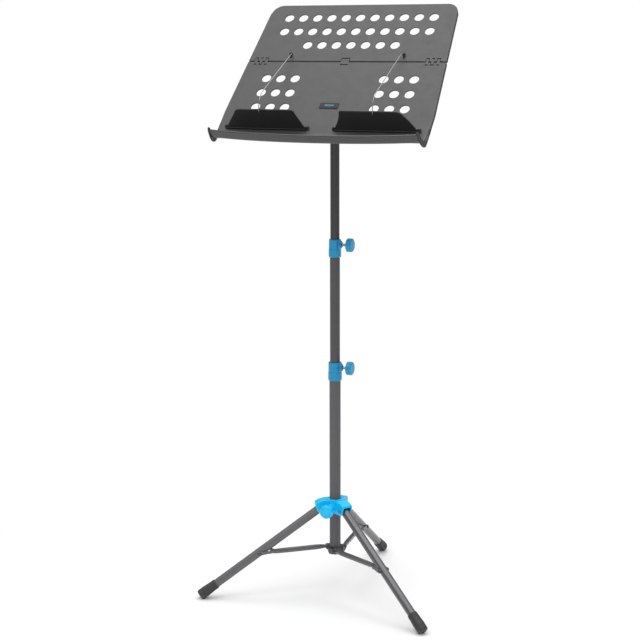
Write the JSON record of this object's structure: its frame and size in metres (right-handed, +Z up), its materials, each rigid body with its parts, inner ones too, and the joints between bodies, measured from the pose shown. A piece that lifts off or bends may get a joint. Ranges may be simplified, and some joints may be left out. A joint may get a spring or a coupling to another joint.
{
  "type": "music stand",
  "caption": "Folding music stand: telescopic mast on a braced tripod, with a tilting perforated desk in two hinged leaves, a bowed tray and wire-stayed page flaps.",
  "frame": {"origin": "centre of the footprint of the whole stand as stored, on the floor under the feet", "axes": "+Z up the mast, -Y towards the player and the face of the desk, +X to the right along the desk as the player sees it"},
  "size_m": [0.5464, 0.4768, 1.3153],
  "materials": {
    "mast_lower": "satin grey paint",
    "mast_middle": "satin grey paint",
    "mast_top": "satin dark grey paint",
    "leg_paint": "semi-gloss grey paint",
    "blue_plastic": "satin moulded plastic",
    "desk_plastic": "fine-grained matte plastic",
    "black_plastic": "glossy black plastic",
    "dark_steel": "dark painted steel",
    "steel": "plain steel",
    "foot_rubber": "matte rubber"
  },
  "bodies": {
    "mast_base": {"lower_tube": "mast_lower", "lower_collar": "blue_plastic", "bottom_bracket": "dark_steel", "left_brace_pin": "dark_steel", "right_brace_pin": "dark_steel", "rear_brace_pin": "dark_steel"},
    "lower_knob": {"lower_clamp_knob": "blue_plastic", "lower_clamp_screw": "steel"},
    "hub": {"tripod_hub": "blue_plastic", "left_leg_pin": "steel", "right_leg_pin": "steel", "rear_leg_pin": "steel"},
    "hub_knob": {"hub_clamp_knob": "blue_plastic", "hub_clamp_screw": "steel"},
    "middle_section": {"middle_tube": "mast_middle", "middle_tube_plug": "black_plastic", "upper_collar": "blue_plastic"},
    "upper_knob": {"upper_clamp_knob": "blue_plastic", "upper_clamp_screw": "steel"},
    "top_section": {"top_tube": "mast_top"},
    "swivel_head": {"tilt_socket": "black_plastic"},
    "swivel_knob": {"socket_knob": "black_plastic", "socket_screw": "steel"},
    "desk": {"lower_leaf": "desk_plastic", "tilt_yoke": "dark_steel", "yoke_screw_1": "steel", "yoke_screw_2": "steel", "yoke_screw_3": "steel", "yoke_screw_4": "steel", "tilt_bolt": "steel", "left_hinge_pin": "steel", "right_hinge_pin": "steel", "nameplate": "black_plastic", "left_flap_base": "black_plastic", "right_flap_base": "black_plastic", "left_flap_pin": "steel", "right_flap_pin": "steel"},
    "desk_tilt_knob": {"tilt_knob": "black_plastic"},
    "folding_leaf": {"upper_leaf": "desk_plastic", "left_wire_clip": "black_plastic", "right_wire_clip": "black_plastic"},
    "left_leg_body": {"left_leg": "leg_paint", "left_foot": "foot_rubber"},
    "left_brace_body": {"left_brace": "leg_paint", "left_brace_rivet_a": "dark_steel", "left_brace_rivet_b": "dark_steel"},
    "right_leg_body": {"right_leg": "leg_paint", "right_foot": "foot_rubber"},
    "right_brace_body": {"right_brace": "leg_paint", "right_brace_rivet_a": "dark_steel", "right_brace_rivet_b": "dark_steel"},
    "rear_leg_body": {"rear_leg": "leg_paint", "rear_foot": "foot_rubber"},
    "rear_brace_body": {"rear_brace": "leg_paint", "rear_brace_rivet_a": "dark_steel", "rear_brace_rivet_b": "dark_steel"},
    "left_flap_body": {"left_flap": "black_plastic"},
    "left_wire_body": {"left_wire_stay": "steel"},
    "right_flap_body": {"right_flap": "black_plastic"},
    "right_wire_body": {"right_wire_stay": "steel"}
  },
  "joints": [
    {"name": "middle_tube_slide", "type": "slide", "parent": "mast_base", "child": "middle_section", "axis": [0, 0, 1], "range_m": [-0.225, 0.04]},
    {"name": "top_tube_slide", "type": "slide", "parent": "middle_section", "child": "top_section", "axis": [0, 0, 1], "range_m": [-0.13, 0.05]},
    {"name": "desk_swivel", "type": "hinge", "parent": "top_section", "child": "swivel_head", "pos_m": [0, -0.07469, 1.064], "axis": [0, 0, 1], "continuous": true},
    {"name": "desk_tilt", "type": "hinge", "parent": "swivel_head", "child": "desk", "pos_m": [0, -0.07469, 1.095], "axis": [-1, 0, 0], "range_deg": [-38, 44]},
    {"name": "leaf_fold", "type": "hinge", "parent": "desk", "child": "folding_leaf", "pos_m": [0, -0.01417, 1.18882], "axis": [-1, 0, 0], "range_deg": [0, 115]},
    {"name": "left_flap_fold", "type": "hinge", "parent": "desk", "child": "left_flap_body", "pos_m": [-0.125, -0.15475, 1.0585], "axis": [-1, 0, 0], "range_deg": [0, 75]},
    {"name": "left_wire_swing", "type": "hinge", "parent": "folding_leaf", "child": "left_wire_body", "pos_m": [-0.1285, -0.01098, 1.20882], "axis": [-1, 0, 0], "range_deg": [0, 115]},
    {"name": "right_flap_fold", "type": "hinge", "parent": "desk", "child": "right_flap_body", "pos_m": [0.125, -0.15475, 1.0585], "axis": [-1, 0, 0], "range_deg": [0, 75]},
    {"name": "right_wire_swing", "type": "hinge", "parent": "folding_leaf", "child": "right_wire_body", "pos_m": [0.1285, -0.01098, 1.20882], "axis": [-1, 0, 0], "range_deg": [0, 115]},
    {"name": "hub_slide", "type": "slide", "parent": "mast_base", "child": "hub", "axis": [0, 0, 1], "range_m": [0, 0.18]},
    {"name": "left_leg_fold", "type": "hinge", "parent": "hub", "child": "left_leg_body", "pos_m": [-0.02944, -0.09169, 0.2021], "axis": [0.5, -0.866, 0], "range_deg": [0, 24]},
    {"name": "left_brace_fold", "type": "hinge", "parent": "mast_base", "child": "left_brace_body", "pos_m": [-0.02011, -0.07187, 0.1065], "axis": [-0.5, 0.866, 0], "range_deg": [0, 50.5]},
    {"name": "right_leg_fold", "type": "hinge", "parent": "hub", "child": "right_leg_body", "pos_m": [0.02944, -0.09169, 0.2021], "axis": [0.5, 0.866, 0], "range_deg": [0, 24]},
    {"name": "right_brace_fold", "type": "hinge", "parent": "mast_base", "child": "right_brace_body", "pos_m": [0.00761, -0.09352, 0.1065], "axis": [-0.5, -0.866, 0], "range_deg": [0, 50.5]},
    {"name": "rear_leg_fold", "type": "hinge", "parent": "hub", "child": "rear_leg_body", "pos_m": [0, -0.04069, 0.2021], "axis": [-1, 0, 0], "range_deg": [0, 24]},
    {"name": "rear_brace_fold", "type": "hinge", "parent": "mast_base", "child": "rear_brace_body", "pos_m": [0.0125, -0.05869, 0.1065], "axis": [1, 0, 0], "range_deg": [0, 50.5]},
    {"name": "lower_knob_turn", "type": "hinge", "parent": "mast_base", "child": "lower_knob", "pos_m": [0.0358, -0.07469, 0.526], "axis": [1, 0, 0], "continuous": true},
    {"name": "upper_knob_turn", "type": "hinge", "parent": "middle_section", "child": "upper_knob", "pos_m": [0.0358, -0.07469, 0.8003], "axis": [1, 0, 0], "continuous": true},
    {"name": "hub_knob_turn", "type": "hinge", "parent": "hub", "child": "hub_knob", "pos_m": [0, -0.12469, 0.206], "axis": [0, -1, 0], "continuous": true},
    {"name": "swivel_knob_turn", "type": "hinge", "parent": "swivel_head", "child": "swivel_knob", "pos_m": [0, -0.04869, 1.064], "axis": [0, 1, 0], "continuous": true},
    {"name": "tilt_knob_turn", "type": "hinge", "parent": "desk", "child": "desk_tilt_knob", "pos_m": [0.018, -0.07469, 1.095], "axis": [1, 0, 0], "continuous": true}
  ],
  "couplings": [
    {"joint": "left_leg_fold", "follows": "hub_slide", "rad_per_m": 2.25},
    {"joint": "left_brace_fold", "follows": "hub_slide", "rad_per_m": 4.85},
    {"joint": "right_leg_fold", "follows": "hub_slide", "rad_per_m": 2.25},
    {"joint": "right_brace_fold", "follows": "hub_slide", "rad_per_m": 4.85},
    {"joint": "rear_leg_fold", "follows": "hub_slide", "rad_per_m": 2.25},
    {"joint": "rear_brace_fold", "follows": "hub_slide", "rad_per_m": 4.85}
  ]
}
